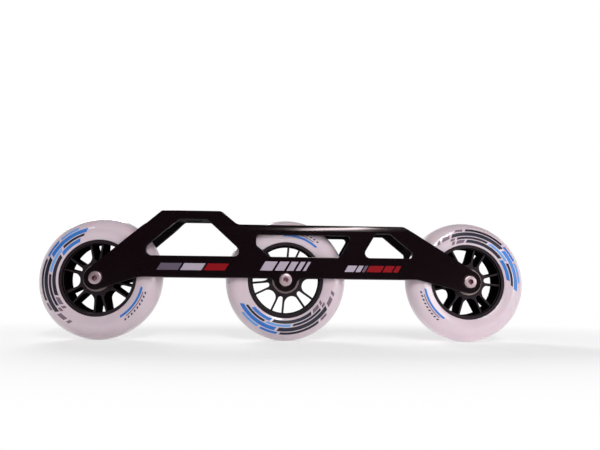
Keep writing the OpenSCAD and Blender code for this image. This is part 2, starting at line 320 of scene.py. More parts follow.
    def _turned(self, tree: Tree) -> None:
        """Fine rings around the nearest axle, as a lathe leaves them.

        Args:
            tree: The group.
        """
        source = put(tree, "NodeGroupInput")
        place = put(tree, "ShaderNodeTexCoord").outputs["Object"]
        parts = put(tree, "ShaderNodeSeparateXYZ", {"Vector": place}).outputs
        half = self.axle_pitch / 2
        across = calculate(tree, "WRAP", parts["X"], half, -half)
        up = calculate(tree, "SUBTRACT", parts["Z"], self.axle_height)
        radius = calculate(tree, "SQRT", calculate(tree, "MULTIPLY_ADD", across, across,
                                                   calculate(tree, "MULTIPLY", up, up)))
        reach = calculate(tree, "ADD", radius, parts["Y"])
        turns = calculate(tree, "DIVIDE", reach, source.outputs["Size"])
        wander = self._cells(tree, place, source, self.wander_cells)
        drift = calculate(tree, "MULTIPLY", wander, self.wander_turn)
        phase = calculate(tree, "MULTIPLY_ADD", turns, 2 * math.pi, drift)
        rings = calculate(tree, "MULTIPLY_ADD", calculate(tree, "SINE", phase), self.mean, self.mean)
        self._close(tree, source, wander, self._blend(tree, rings, wander, self.ring_gloss), rings)

    def _ink(self, tree: Tree) -> None:
        """Slightly uneven cover of a printed ink, with fine pinholes.

        Args:
            tree: The group.
        """
        source = put(tree, "NodeGroupInput")
        place = put(tree, "ShaderNodeTexCoord").outputs["Object"]
        size = source.outputs["Size"]
        fine = self._noise(tree, place, size, self.octaves)
        patches = calculate(tree, "MULTIPLY", size, self.cover_cells)
        cover = self._noise(tree, place, patches, self.fine_octaves)
        self._close(tree, source, self._blend(tree, cover, fine, self.cover_shade), fine, fine)


# Finishes


@dataclass(frozen=True)
class Finish:
    """A surface finish: colour, gloss and the small relief that breaks up its reflections."""

    name: str
    colour: Colour
    roughness: float
    effect: Effect
    grain: float
    relief: float
    spread: float = 0.3
    metallic: float = 0.0
    specular: float = 0.5
    sheen_tint: Colour = WHITE
    coat: float = 0.0
    coat_roughness: float = 0.1
    subsurface: float = 0.0
    bleed: float = 2 * MM

    def material(self) -> bpy.types.Material:
        """The finish as a material, made at its first use.

        Returns:
            The material.
        """
        known = bpy.data.materials.get(self.name)
        if known:
            return known
        made = bpy.data.materials.new(self.name)
        made.use_nodes = True
        tree = made.node_tree
        tree.nodes.clear()
        effect = put(tree, "ShaderNodeGroup", node_tree=EffectGroups().get(self.effect))
        effect.inputs["Colour"].default_value = self.colour
        effect.inputs["Roughness"].default_value = self.roughness
        effect.inputs["Spread"].default_value = self.spread
        effect.inputs["Size"].default_value = self.grain
        bump = put(tree, "ShaderNodeBump", {"Height": effect.outputs["Height"], "Distance": self.relief})
        shader = put(
            tree,
            "ShaderNodeBsdfPrincipled",
            {
                "Base Color": effect.outputs["Colour"],
                "Roughness": effect.outputs["Roughness"],
                "Normal": bump.outputs["Normal"],
                "Metallic": self.metallic,
                "Specular IOR Level": self.specular,
                "Specular Tint": self.sheen_tint,
                "Coat Weight": self.coat,
                "Coat Roughness": self.coat_roughness,
                "Subsurface Weight": self.subsurface,
                "Subsurface Scale": self.bleed,
            },
        )
        put(tree, "ShaderNodeOutputMaterial", {"Surface": shader.outputs["BSDF"]})
        made.diffuse_color = self.colour
        return made

    def coat_piece(self, piece: Piece) -> None:
        """Put the finish on the whole of a piece."""
        piece.data.materials.clear()
        piece.data.materials.append(self.material())


ANODISED_BLACK = Finish("anodised_black", paint(13, 4, 8), 0.12, Effect.DRAWN, 0.12 * MM, 0.0003 * MM,
                        spread=0.2, specular=0.58, sheen_tint=(1.0, 0.85, 0.86, 1.0))
MILLED_BLACK = Finish("milled_black", paint(16, 11, 13), 0.5, Effect.GRAIN, 0.15 * MM, 0.004 * MM,
                      spread=0.3, specular=0.08)
MATT_BLACK = Finish("matt_black", paint(20, 16, 18), 0.75, Effect.GRAIN, 0.2 * MM, 0.01 * MM,
                    spread=0.4, specular=0.05)
CAST_URETHANE = Finish("cast_urethane", paint(206, 188, 197), 0.3, Effect.GRAIN, 0.6 * MM, 0.004 * MM,
                       spread=0.1, coat=0.9, coat_roughness=0.07, subsurface=0.2)
# The core's one black nylon in two copies: a lighter one is painted light on faces that look out, a
# darker matt one is painted shade on the walls of the gaps.
PAINTED_LIGHT_NYLON = Finish("painted_light_nylon", paint(35, 26, 32), 0.5, Effect.GRAIN, 0.25 * MM, 0.01 * MM,
                     spread=0.4, specular=0.15)
PAINTED_SHADE_NYLON = Finish("painted_shade_nylon", paint(11, 8, 10), 0.8, Effect.GRAIN, 0.25 * MM, 0.01 * MM,
                    spread=0.4, specular=0.0)
PLATED_STEEL = Finish("plated_steel", paint(188, 167, 173), 0.4, Effect.TURNED, 0.22 * MM, 0.002 * MM,
                      spread=0.15, metallic=1.0)
# Darker steel for the walls of the hexagon socket: painted shade in the recess.
PAINTED_SHADE_SOCKET_STEEL = Finish("painted_shade_socket_steel", paint(150, 112, 122), 0.5, Effect.GRAIN, 0.2 * MM, 0.006 * MM,
                      spread=0.4, metallic=1.0)
RACE_STEEL = Finish("race_steel", paint(150, 134, 132), 0.35, Effect.TURNED, 0.15 * MM, 0.003 * MM,
                    spread=0.3, metallic=1.0)
SHIELD_STEEL = Finish("shield_steel", paint(146, 140, 141), 0.34, Effect.TURNED, 0.3 * MM, 0.004 * MM,
                      spread=0.3, metallic=1.0)
BALL_STEEL = Finish("ball_steel", paint(214, 214, 218), 0.1, Effect.GRAIN, 0.3 * MM, 0.0005 * MM,
                    spread=0.2, metallic=1.0)
CAGE_NYLON = Finish("cage_nylon", paint(196, 170, 120), 0.45, Effect.GRAIN, 0.2 * MM, 0.006 * MM)
SPACER_ALLOY = Finish("spacer_alloy", paint(190, 190, 194), 0.38, Effect.TURNED, 0.25 * MM, 0.005 * MM,
                      spread=0.3, metallic=1.0)


class Ink(Enum):
    """Printed colours of the tyres and the channel."""

    BLUE = Finish("ink_blue", paint(36, 108, 190), 0.36, Effect.INK, 0.25 * MM, 0.004 * MM, spread=0.5)
    SKY = Finish("ink_sky", paint(98, 152, 214), 0.36, Effect.INK, 0.25 * MM, 0.004 * MM, spread=0.4)
    NAVY = Finish("ink_navy", paint(26, 22, 42), 0.34, Effect.INK, 0.25 * MM, 0.004 * MM, spread=0.5)
    MAUVE = Finish("ink_mauve", paint(112, 90, 106), 0.38, Effect.INK, 0.25 * MM, 0.004 * MM, spread=0.3)
    GREY = Finish("ink_grey", paint(89, 78, 96), 0.34, Effect.INK, 0.2 * MM, 0.003 * MM, spread=0.15)
    WHITE = Finish("ink_white", paint(167, 154, 170), 0.34, Effect.INK, 0.2 * MM, 0.003 * MM, spread=0.1)
    RED = Finish("ink_red", paint(130, 8, 18), 0.34, Effect.INK, 0.2 * MM, 0.003 * MM, spread=0.15,
                 specular=0.15)


# Hand moves of the modeller


def hold(piece: Piece) -> None:
    """Make one object the only selected and the active one.

    Args:
        piece: The object.
    """
    bpy.ops.object.select_all(action="DESELECT")
    piece.select_set(True)
    bpy.context.view_layer.objects.active = piece


def edit(piece: Piece) -> None:
    """Open one object in edit mode with everything in it selected.

    Args:
        piece: The object.
    """
    hold(piece)
    bpy.ops.object.mode_set(mode="EDIT")
    bpy.ops.mesh.select_mode(type="VERT")
    bpy.ops.mesh.select_all(action="SELECT")


def leave_edit() -> None:
    """Go back to object mode."""
    bpy.ops.object.mode_set(mode="OBJECT")


def choose(piece: Piece, test: Callable[[Vector], bool]) -> None:
    """In edit mode, select the vertices that pass a test of their place.

    Args:
        piece: The object in edit mode.
        test: Says of a place whether its vertex is selected.
    """
    bpy.ops.mesh.select_all(action="DESELECT")
    mesh = bmesh.from_edit_mesh(piece.data)
    for vertex in mesh.verts:
        vertex.select = test(vertex.co)
    mesh.select_flush(True)
    bmesh.update_edit_mesh(piece.data)


def settle(piece: Piece) -> None:
    """Move an object's place, turn and scale into its mesh."""
    hold(piece)
    bpy.ops.object.transform_apply(location=True, rotation=True, scale=True)


def named(piece: Piece, name: str) -> Piece:
    """Name an object and its mesh alike.

    Args:
        piece: The object.
        name: Its name.

    Returns:
        The same object.
    """
    piece.name = name
    piece.data.name = name
    return piece


def apply_modifier(piece: Piece, kind: str, **settings: object) -> None:
    """Add a modifier to an object and apply it.

    Args:
        piece: The object.
        kind: Blender's name of the modifier type.
        **settings: Options of the modifier.
    """
    hold(piece)
    modifier = piece.modifiers.new(kind.lower(), kind)
    for option, value in settings.items():
        setattr(modifier, option, value)
    bpy.ops.object.modifier_apply(modifier=modifier.name)


def close_up(piece: Piece) -> None:
    """Merge an object's doubles and turn its faces outwards.

    Args:
        piece: The object.
    """
    edit(piece)
    bpy.ops.mesh.remove_doubles(threshold=WELD)
    bpy.ops.mesh.normals_make_consistent(inside=False)
    leave_edit()


def smooth(piece: Piece, angle: float) -> None:
    """Shade an object smooth except across edges sharper than an angle in degrees."""
    hold(piece)
    bpy.ops.object.shade_smooth_by_angle(angle=math.radians(angle))


def copy_of(piece: Piece, name: str) -> Piece:
    """Copy an object together with its mesh.

    Args:
        piece: The object to copy.
        name: Name of the copy.

    Returns:
        The copy, which rides on nothing yet.
    """
    hold(piece)
    bpy.ops.object.duplicate(linked=False)
    copy = bpy.context.active_object
    copy.parent = None
    for key in [key for key in copy.keys() if key.startswith("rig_")]:
        del copy[key]
    return named(copy, name)


def discard(piece: Piece) -> None:
    """Delete an object that was only a pattern or a tool."""
    hold(piece)
    bpy.ops.object.delete()


def join(pieces: list[Piece], name: str) -> Piece:
    """Join objects into one.

    Args:
        pieces: The objects.
        name: Name of the whole.

    Returns:
        The joined object.
    """
    hold(pieces[0])
    for piece in pieces[1:]:
        piece.select_set(True)
    bpy.ops.object.join()
    return named(pieces[0], name)


def trace(points: list[Vector]) -> Piece:
    """Draw a wire through points by drawing one vertex out from each to the next.

    Args:
        points: The points in order.

    Returns:
        The wire.
    """
    bpy.ops.mesh.primitive_plane_add(size=MM, location=points[0])
    wire = bpy.context.active_object
    settle(wire)
    edit(wire)
    bpy.ops.mesh.merge(type="CENTER")
    for here, there in zip(points, points[1:]):
        bpy.ops.mesh.extrude_vertices_move(TRANSFORM_OT_translate={"value": there - here})
    leave_edit()
    return wire


@dataclass(frozen=True)
class Refiner:
    """Turns a copy of a solid's mesh into a piece with rounded edges."""

    edge: float
    steps: int = 2
    sharp_angle: float = 26.0
    flat_angle: float = 0.3
    smooth_angle: float = 40.0

    def refine(self, node: Piece, name: str) -> Piece:
        """Copy a solid, weld it, round its edges and smooth its shading.

        Args:
            node: The solid's object.
            name: Name of the new piece.

        Returns:
            The new piece.
        """
        piece = copy_of(node, name)
        edit(piece)
        bpy.ops.mesh.customdata_custom_splitnormals_clear()
        bpy.ops.mesh.remove_doubles(threshold=WELD)
        bpy.ops.mesh.dissolve_limited(angle_limit=math.radians(self.flat_angle))
        leave_edit()
        apply_modifier(piece, "BEVEL", width=self.edge, segments=self.steps, limit_method="ANGLE",
                       angle_limit=math.radians(self.sharp_angle), use_clamp_overlap=False,
                       miter_outer="MITER_ARC")
        smooth(piece, self.smooth_angle)
        apply_modifier(piece, "WEIGHTED_NORMAL", keep_sharp=True)
        return piece


# Sub-assemblies


@dataclass(frozen=True)
class BarRow:
    """A row of slanted bars on the side walls, from its lower rear corner, with z above the axles."""

    x: float
    z: float
    height: float
    gap: float
    bars: tuple[tuple[Ink, float], ...]


@dataclass
class Channel:
    """The milled channel and the bars printed on both its walls."""

    wall_y: float = 15.5 * MM
    inner_y: float = 13.0 * MM
    axle_height: float = 50 * MM
    ink_depth: float = 0.01 * MM
    edge: float = 0.35 * MM
    face_turn: float = 0.5
    bar_lean: float = 0.59
    rows: tuple[BarRow, ...] = (
        BarRow(-104.1 * MM, 7.0 * MM, 5.6 * MM, 1.85 * MM,
               ((Ink.GREY, 17 * MM), (Ink.WHITE, 17 * MM), (Ink.RED, 17 * MM))),
        BarRow(-21.0 * MM, 7.4 * MM, 7.4 * MM, 2.0 * MM,
               tuple((Ink.WHITE, length * MM) for length in (10.0, 7.5, 5.5, 3.8, 2.4))),
        BarRow(48.0 * MM, 7.0 * MM, 5.2 * MM, 1.3 * MM,
               ((Ink.WHITE, 7.6 * MM), (Ink.WHITE, 4 * MM), (Ink.GREY, 2.4 * MM),
                (Ink.RED, 12 * MM), (Ink.RED, 7.5 * MM), (Ink.RED, 4 * MM))),
    )
    parts: list[Piece] = field(default_factory=list)

    def build(self, nodes: dict[str, Piece]) -> None:
        """Model the channel and its printed bars.

        Args:
            nodes: The solids by name.
        """
        body = Refiner(self.edge).refine(nodes["frame_channel"], "channel_body")
        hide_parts("frame_channel")
        self.dress(body)
        self.parts.append(body)
        slabs: dict[Ink, list[Piece]] = {}
        for row in self.rows:
            x = row.x
            for ink, length in row.bars:
                slabs.setdefault(ink, []).extend(self._slab(row, x, length, side) for side in Side)
                x += length + row.gap
        for ink, pieces in slabs.items():
            marks = join(pieces, f"channel_print_{ink.name.lower()}")
            close_up(marks)
            ink.value.coat_piece(marks)
            self.parts.append(marks)

    def dress(self, body: Piece) -> None:
        """Finish the outside bright, the faces inside the channel matt and the edges of the walls satin.

        Args:
            body: The channel.
        """
        finishes = (ANODISED_BLACK, MATT_BLACK, MILLED_BLACK)
        ANODISED_BLACK.coat_piece(body)
        for finish in finishes[1:]:
            body.data.materials.append(finish.material())
        for face in body.data.polygons:
            inside = abs(face.center.y) < self.inner_y + TINY
            inward = face.normal.y * face.center.y < -self.face_turn * abs(face.center.y)
            under = face.normal.z < -self.face_turn
            if inside and (inward or under):
                face.material_index = finishes.index(MATT_BLACK)
            elif not inside and abs(face.normal.y) < self.face_turn:
                face.material_index = finishes.index(MILLED_BLACK)

    def _slab(self, row: BarRow, x: float, length: float, side: Side) -> Piece:
        """Model one bar on one wall, as a thin slab that stands a little proud of it.

        Args:
            row: The row that the bar is in.
            x: Lower rear corner of the bar.
            length: Length of the bar.
            side: The wall that carries it.

        Returns:
            The slab.
        """
        middle = (x + length / 2, side.value * self.wall_y, self.axle_height + row.z + row.height / 2)
        bpy.ops.mesh.primitive_plane_add(size=1, location=middle, rotation=(QUARTER_TURN, 0, 0))
        slab = bpy.context.active_object
        slab.scale = (length, row.height, 1)
        settle(slab)
        edit(slab)
        choose(slab, lambda place: place.z > middle[2])
        bpy.ops.transform.translate(value=(self.bar_lean * row.height, 0, 0))
        leave_edit()
        apply_modifier(slab, "SOLIDIFY", thickness=2 * self.ink_depth, offset=0)
        return slab

    def ride(self) -> None:
        """Let every part move with the frame."""
        for part in self.parts:
            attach(part, "frame")
            LOG.info("channel: %s", part.name)


@dataclass(frozen=True)
class Arc:
    """A printed arc of a ring, in degrees from the print's start, anticlockwise from the right side."""

    ink: Ink
    start: float
    end: float


@dataclass(frozen=True)
class Ring:
    """A printed ring on a tyre's side, between two radii from the axle."""

    inner: float
    outer: float
    arcs: tuple[Arc, ...]


@dataclass(frozen=True)
class TyrePrint:
    """Print of a tyre's side: rings of long arcs with slanted ends, and a row of small dashes."""

    lean: float = 0.6
    rings: tuple[Ring, ...] = (
        Ring(32.8 * MM, 35.4 * MM, (Arc(Ink.BLUE, 4, 34), Arc(Ink.NAVY, 37, 92), Arc(Ink.MAUVE, 95, 106),
                                    Arc(Ink.MAUVE, 109, 113))),
        Ring(36.1 * MM, 37.9 * MM, (Arc(Ink.NAVY, -4, 26), Arc(Ink.SKY, 29, 60), Arc(Ink.NAVY, 63, 104),
                                    Arc(Ink.MAUVE, 107, 113))),
        Ring(38.6 * MM, 41.6 * MM, (Arc(Ink.BLUE, -8, 42), Arc(Ink.NAVY, 45, 110),
                                    Arc(Ink.MAUVE, 113, 123), Arc(Ink.MAUVE, 126, 130))),
        Ring(42.3 * MM, 44.2 * MM, (Arc(Ink.SKY, 0, 22), Arc(Ink.BLUE, 25, 44), Arc(Ink.NAVY, 47, 92),
                                    Arc(Ink.MAUVE, 95, 104))),
        Ring(35.8 * MM, 37.6 * MM, (Arc(Ink.BLUE, 190, 236),)),
        Ring(38.4 * MM, 39.2 * MM, (Arc(Ink.MAUVE, 196, 230),)),
    )
    dash_ink: Ink = Ink.NAVY
    dash_inner: float = 40.0 * MM
    dash_outer: float = 41.4 * MM
    dash_start: float = 192.0
    dash_pitch: float = 4.6
    dash_sweep: float = 2.2
    dash_count: int = 9

    def all_rings(self) -> tuple[Ring, ...]:
        """The rings, with the row of dashes as the last one.

        Returns:
            The rings of one side.
        """
        starts = [self.dash_start + k * self.dash_pitch for k in range(self.dash_count)]
        dashes = tuple(Arc(self.dash_ink, start, start + self.dash_sweep) for start in starts)
        return (*self.rings, Ring(self.dash_inner, self.dash_outer, dashes))


@dataclass
class Wheel:
    """Tyre, core and printed rings of the wheels, modelled around the origin and moved to an axle."""

    radius: float = 50 * MM
    crown_r: float = 12 * MM
    crown_span: float = 95.0
    core_r: float = 31 * MM
    core_half_w: float = 11 * MM
    lip: float = 0.45 * MM
    lip_steps: int = 3
    smooth_angle: float = 50.0
    section_points: int = 144
    turn_steps: int = 160
    print_layout: TyrePrint = field(default_factory=TyrePrint)
    ink_depth: float = 0.05 * MM
    ink_step: float = 2.25
    ink_row: float = 0.6 * MM
    ink_smooth_angle: float = 30.0
    core_edge: float = 0.3 * MM
    core_face_turn: float = 0.35
    print_origin: float = 90.0
    print_turn: dict[Station, float] = field(default_factory=lambda: {
        Station.REAR: 114.0,
        Station.MIDDLE: 218.0,
        Station.FRONT: 0.0,
    })

    @property
    def crown_mid(self) -> float:
        """Radius of the middle of the crown's arc."""
        return self.radius - self.crown_r

    @property
    def shoulder(self) -> float:
        """Radius at which the crown's arc ends in the straight side."""
        return self.crown_mid + self.crown_r * math.cos(math.radians(self.crown_span))

    def side_at(self, reach: float) -> float:
        """Distance of the tyre's side from the wheel's middle plane.

        Args:
            reach: Radius from the axle.

        Returns:
            The half width there.
        """
        if reach >= self.shoulder:
            return math.sqrt(self.crown_r ** 2 - (reach - self.crown_mid) ** 2)
        share = (reach - self.core_r) / (self.shoulder - self.core_r)
        widest = self.crown_r * math.sin(math.radians(self.crown_span))
        return self.core_half_w + share * (widest - self.core_half_w)

    def tyre(self) -> Piece:
        """Spin the tyre's section around the axle and round its inner lips.

        Returns:
            The tyre around the origin.
        """
        bpy.ops.mesh.primitive_circle_add(vertices=self.section_points, radius=self.crown_r,
                                          location=(0, 0, self.crown_mid), rotation=(0, QUARTER_TURN, 0))
        tyre = bpy.context.active_object
        settle(tyre)
        edit(tyre)
        choose(tyre, lambda place: place.z < self.shoulder - TINY)
        bpy.ops.mesh.delete(type="VERT")
        end_y = self.side_at(self.shoulder)
        for side in Side:
            choose(tyre, lambda place: place.z < self.shoulder + TINY and place.y * side.value > 0)
            step = (0, side.value * (self.core_half_w - end_y), self.core_r - self.shoulder)
            bpy.ops.mesh.extrude_vertices_move(TRANSFORM_OT_translate={"value": step})
        choose(tyre, lambda place: place.z < self.core_r + TINY)
        bpy.ops.mesh.edge_face_add()
        bpy.ops.mesh.select_all(action="SELECT")
        bpy.ops.mesh.spin(steps=self.turn_steps, angle=2 * math.pi, center=(0, 0, 0), axis=(0, 1, 0))
        leave_edit()
        close_up(tyre)
        edit(tyre)
        choose(tyre, lambda place: math.hypot(place.x, place.z) < self.core_r + TINY)
        bpy.ops.mesh.bevel(offset=self.lip, segments=self.lip_steps, affect="EDGES")
        leave_edit()
        smooth(tyre, self.smooth_angle)
        return tyre

    def printed(self, ring: Ring, arc: Arc, side: Side) -> Piece:
        """Spin one printed arc over the tyre's side, as a thin shell that lies half in the tyre.

        Args:
            ring: The ring that the arc is in.
            arc: The arc.
            side: The side of the wheel.

        Returns:
            The arc around the origin.
        """
        rows = max(1, round((ring.outer - ring.inner) / self.ink_row))
        end_line = []
        for k in range(rows + 1):
            rise = (ring.outer - ring.inner) * k / rows
            turn = self.print_layout.lean * rise / ring.inner
            reach = ring.inner + rise
            across, up = reach * math.sin(turn), reach * math.cos(turn)
            end_line.append(Vector((across, -self.side_at(reach), up)))
        shell = trace(end_line)
        edit(shell)
        sweep = arc.end - arc.start
        steps = max(1, round(sweep / self.ink_step))
        bpy.ops.mesh.spin(steps=steps, angle=math.radians(sweep), center=(0, 0, 0), axis=(0, 1, 0))
        leave_edit()
        apply_modifier(shell, "SOLIDIFY", thickness=2 * self.ink_depth, offset=0)
        shell.rotation_euler.y = -math.radians(arc.start)
        settle(shell)
        if side is Side.LEFT:
            shell.rotation_euler.z = math.pi
            settle(shell)
        return shell

    def prints(self) -> dict[Ink, Piece]:
        """Model the print of both sides once.

        Returns:
            One object around the origin for each ink.
        """
        arcs: dict[Ink, list[Piece]] = {}
        for ring in self.print_layout.all_rings():
            for arc in ring.arcs:
                arcs.setdefault(arc.ink, []).extend(self.printed(ring, arc, side) for side in Side)
        made = {}
        for ink, pieces in arcs.items():
            made[ink] = join(pieces, f"print_{ink.name.lower()}")
            close_up(made[ink])
            smooth(made[ink], self.ink_smooth_angle)
            ink.value.coat_piece(made[ink])
        return made

    def dress_core(self, core: Piece) -> None:
        """Give the faces and edges that look out of the wheel a lighter nylon as painted light, and the
        walls of its gaps a darker, matt nylon as painted shade.

        Args:
            core: The core.
        """
        # Lighter nylon on the outward faces is painted light, darker nylon on the gap walls is painted
        # shade.
        PAINTED_LIGHT_NYLON.coat_piece(core)
        core.data.materials.append(PAINTED_SHADE_NYLON.material())
        for face in core.data.polygons:
            if abs(face.normal.y) < self.core_face_turn:
                face.material_index = 1

    def build(self, nodes: dict[str, Piece], axles: dict[Station, Vector]) -> None:
        """Model one wheel and set a copy on each axle.

        Args:
            nodes: The solids by name.
            axles: Middle of each axle.
        """
        tyre = self.tyre()
        CAST_URETHANE.coat_piece(tyre)
        prints = self.prints()
        for station, axle in axles.items():
            name, body = station.value, f"{station.value}_wheel"
            ring = copy_of(tyre, f"{name}_tyre_ring")
            ring.location = axle
            settle(ring)
            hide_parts(f"{name}_tyre")
            core = Refiner(self.core_edge).refine(nodes[f"{name}_core"], f"{name}_core_moulding")
            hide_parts(f"{name}_core")
            self.dress_core(core)
            marks = []
            for ink, pattern in prints.items():
                mark = copy_of(pattern, f"{name}_print_{ink.name.lower()}")
                mark.rotation_euler.y = math.radians(self.print_origin - self.print_turn[station])
                mark.location = axle
                settle(mark)
                marks.append(mark)
            for piece in (ring, core, *marks):
                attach(piece, body)
                LOG.info("%s: %s", body, piece.name)
        for pattern in (tyre, *prints.values()):
            discard(pattern)


@dataclass
class AxleBolt:
    """A cap screw with a hexagon socket, which is a wheel's axle."""

    head_r: float = 5.1 * MM
    head_face: float = -17.3 * MM
    head_seat: float = -15.1 * MM
    head_round: float = 0.25 * MM
    head_round_steps: int = 3
    head_dome: tuple[tuple[float, float], ...] = (
        (0.8 * MM, 0.22 * MM),
        (0.8 * MM, 0.13 * MM),
        (0.7 * MM, 0.04 * MM),
    )
    shank_r: float = 3.97 * MM
    shank_end: float = 12.0 * MM
    thread_r: float = 3.5 * MM
    tip: float = 15.5 * MM
    tip_chamfer: float = 0.6 * MM
    socket_w: float = 4.0 * MM
    socket_depth: float = 4.0 * MM
    socket_sides: int = 6
    edge: float = 0.12 * MM
    edge_steps: int = 2
    sharp_angle: float = 28.0
    smooth_angle: float = 35.0
    sides: int = 72

    def _grow(self, screw: Piece, y: float, narrower: float, reach: float) -> None:
        """Step the end face in and draw it out along the axle.

        Args:
            screw: The screw in edit mode.
            y: Where the end face lies.
            narrower: How far the face is set in.
            reach: How far it is drawn out.
        """
        choose(screw, lambda place: place.y > y - TINY)
        bpy.ops.mesh.inset(thickness=narrower)
        bpy.ops.mesh.extrude_region_move(TRANSFORM_OT_translate={"value": (0, reach, 0)})

    def model(self) -> Piece:
        """Model the screw around the origin, along Y.

        Returns:
            The screw.
        """
        rim = self.head_face + sum(rise for _, rise in self.head_dome)
        head_h = self.head_seat - rim
        middle = (self.head_seat + rim) / 2
        bpy.ops.mesh.primitive_cylinder_add(vertices=self.sides, radius=self.head_r, depth=head_h,
                                            location=(0, middle, 0), rotation=(QUARTER_TURN, 0, 0))
        screw = bpy.context.active_object
        PLATED_STEEL.coat_piece(screw)
        settle(screw)
        edit(screw)
        choose(screw, lambda place: place.y < rim + TINY)
        for step_in, rise in self.head_dome:
            bpy.ops.mesh.inset(thickness=step_in, depth=rise)
        choose(screw, lambda place: abs(place.y - rim) < TINY)
        bpy.ops.mesh.bevel(offset=self.head_round, segments=self.head_round_steps, affect="EDGES")
        self._grow(screw, self.head_seat, self.head_r - self.shank_r, self.shank_end - self.head_seat)
        self._grow(screw, self.shank_end, self.shank_r - self.thread_r, self.tip - self.shank_end)
        choose(screw, lambda place: place.y > self.tip - TINY)
        bpy.ops.mesh.bevel(offset=self.tip_chamfer, segments=1, affect="EDGES")
        leave_edit()
        self._cut_socket(screw)
        close_up(screw)
        apply_modifier(screw, "BEVEL", width=self.edge, segments=self.edge_steps, limit_method="ANGLE",
                       angle_limit=math.radians(self.sharp_angle), use_clamp_overlap=True)
        smooth(screw, self.smooth_angle)
        return screw

    def _cut_socket(self, screw: Piece) -> None:
        """Cut the hexagon socket out of the head, with steel painted darker on its walls as painted shade
        in the recess.

        Args:
            screw: The screw.
        """
        corner_r = self.socket_w / 2 / math.cos(math.pi / self.socket_sides)
        bpy.ops.mesh.primitive_cylinder_add(vertices=self.socket_sides, radius=corner_r,
                                            depth=2 * self.socket_depth, location=(0, self.head_face, 0),
                                            rotation=(QUARTER_TURN, 0, 0))
        cutter = bpy.context.active_object
        # The cutter's darker steel goes onto the socket walls as painted shade.
        PAINTED_SHADE_SOCKET_STEEL.coat_piece(cutter)
        apply_modifier(screw, "BOOLEAN", operation="DIFFERENCE", object=cutter, solver="EXACT",
                       material_mode="TRANSFER")
        discard(cutter)

    def build(self, axles: dict[Station, Vector]) -> None:
        """Model one screw and set a copy on each axle.

        Args:
            axles: Middle of each axle.
        """
        screw = self.model()
        for station, axle in axles.items():
            piece = copy_of(screw, f"{station.value}_axle_screw")
            piece.location = axle
            settle(piece)
            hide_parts(f"{station.value}_axle_bolt")
            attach(piece, "frame")
            LOG.info("axle: %s", piece.name)
        discard(screw)


@dataclass
class Bearings:
    """The six ball bearings and the three spacers between them."""

    race_edge: float = 0.2 * MM
    shield_edge: float = 0.06 * MM

    def build(self, nodes: dict[str, Piece]) -> None:
        """Refine what shows of the bearings and finish the rest as it is.

        Args:
            nodes: The solids by name.
        """
        for station in Station:
            name = station.value
            SPACER_ALLOY.coat_piece(nodes[f"{name}_spacer"])
            for side in Side:
                self._dress(nodes, f"{name}_{side.name.lower()}", f"{name}_wheel")

    def _dress(self, nodes: dict[str, Piece], bearing: str, wheel: str) -> None:
        """Refine and finish one bearing.

        Args:
            nodes: The solids by name.
            bearing: First part of the names of its solids.
            wheel: Body of the wheel that it carries.
        """
        ring = Refiner(self.race_edge).refine(nodes[f"{bearing}_outer_race"], f"{bearing}_outer_ring")
        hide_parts(f"{bearing}_outer_race")
        RACE_STEEL.coat_piece(ring)
        cover = Refiner(self.shield_edge).refine(nodes[f"{bearing}_shields"], f"{bearing}_covers")
        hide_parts(f"{bearing}_shields")
        SHIELD_STEEL.coat_piece(cover)
        for piece in (ring, cover):
            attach(piece, wheel)
            LOG.info("%s: %s", wheel, piece.name)
        RACE_STEEL.coat_piece(nodes[f"{bearing}_inner_race"])
        BALL_STEEL.coat_piece(nodes[f"{bearing}_balls"])
        CAGE_NYLON.coat_piece(nodes[f"{bearing}_cage"])


@dataclass(frozen=True)
class Softbox:
    """A square or oblong lamp that points at a place."""

    place: tuple[float, float, float]
    aim: tuple[float, float, float]
    width: float
    height: float
    power: float


